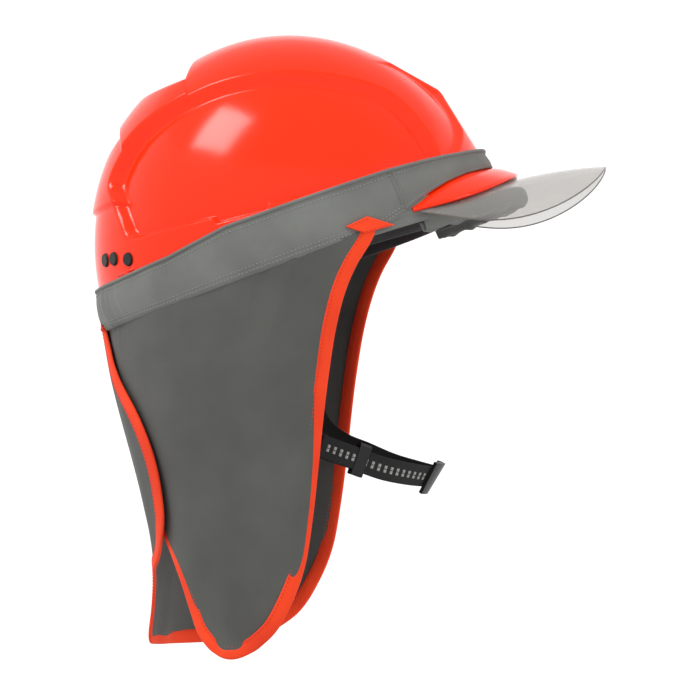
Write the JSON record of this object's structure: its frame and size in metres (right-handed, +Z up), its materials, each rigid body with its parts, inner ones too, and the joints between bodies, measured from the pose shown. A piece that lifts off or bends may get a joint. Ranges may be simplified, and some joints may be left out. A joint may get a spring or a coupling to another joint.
{
  "type": "hard hat",
  "caption": "Safety helmet with ribbed dome, webbing harness, ratchet headband, fabric sun cover with neck flaps, clear sun peak and chin strap.",
  "frame": {"origin": "middle of the head opening, in the plane of the rim of the dome", "axes": "+X towards the front of the hat, +Y towards the wearer's left, +Z up as worn on an upright head; the dome sits back on the head, so its own rim plane is tilted 18 degrees about Y, front up"},
  "size_m": [0.3387, 0.2212, 0.4048],
  "materials": {
    "shell_plastic": "glossy moulded plastic, orange-red",
    "black_plastic": "satin moulded plastic, black",
    "harness_plastic": "matte moulded plastic, dark grey",
    "clear_sheet": "clear glossy flexible sheet",
    "cover_fabric": "woven cloth, grey",
    "binding_tape": "woven tape, orange-red",
    "elastic": "woven elastic, black",
    "webbing": "woven webbing, black",
    "padding": "soft cloth over foam, dark grey",
    "screw_steel": "plain steel"
  },
  "bodies": {
    "hat": {"shell": "shell_plastic", "vent_plugs": "black_plastic", "clear_peak": "clear_sheet", "brim_sleeve": "cover_fabric", "cover_band_rear": "cover_fabric", "cover_band_front": "cover_fabric", "hem_elastic": "elastic", "neck_flap_right": "cover_fabric", "neck_flap_left": "cover_fabric", "flap_binding_right": "binding_tape", "flap_binding_left": "binding_tape", "headband": "harness_plastic", "sweatband": "padding", "harness_keys": "harness_plastic", "crown_strap_lower": "webbing", "crown_strap_middle": "webbing", "crown_strap_upper": "webbing", "crown_pad": "padding", "ratchet_case_front": "black_plastic", "ratchet_case_rear": "black_plastic", "nape_pad": "padding", "chin_anchors": "black_plastic"},
    "knob": {"ratchet_knob": "black_plastic", "ratchet_pinion": "black_plastic", "knob_screw": "screw_steel"},
    "left_tail": {"nape_strap_left": "harness_plastic"},
    "right_tail": {"nape_strap_right": "harness_plastic"},
    "chin_strap": {"chin_hooks": "black_plastic", "chin_webbing": "webbing", "chin_cup": "black_plastic"},
    "slider": {"chin_slider": "black_plastic", "chin_strap_tail": "webbing"}
  },
  "joints": [
    {"name": "knob_turn", "type": "hinge", "parent": "hat", "child": "knob", "pos_m": [-0.08978, 0, -0.046], "axis": [-0.9511, 0, -0.309], "range_deg": [-28, 28]},
    {"name": "left_tail_slide", "type": "slide", "parent": "hat", "child": "left_tail", "axis": [0, 1, 0], "range_m": [-0.003, 0.003]},
    {"name": "right_tail_slide", "type": "slide", "parent": "hat", "child": "right_tail", "axis": [0, -1, 0], "range_m": [-0.003, 0.003]},
    {"name": "chin_strap_swing", "type": "hinge", "parent": "hat", "child": "chin_strap", "pos_m": [0.014, 0, -0.014], "axis": [0, 1, 0], "range_deg": [-45, 15]},
    {"name": "slider_slide", "type": "slide", "parent": "chin_strap", "child": "slider", "axis": [0.835, 0.4407, -0.3294], "range_m": [-0.006, 0.006]}
  ],
  "couplings": [
    {"joint": "left_tail_slide", "follows": "knob_turn", "m_per_rad": 0.006},
    {"joint": "right_tail_slide", "follows": "knob_turn", "m_per_rad": 0.006}
  ]
}
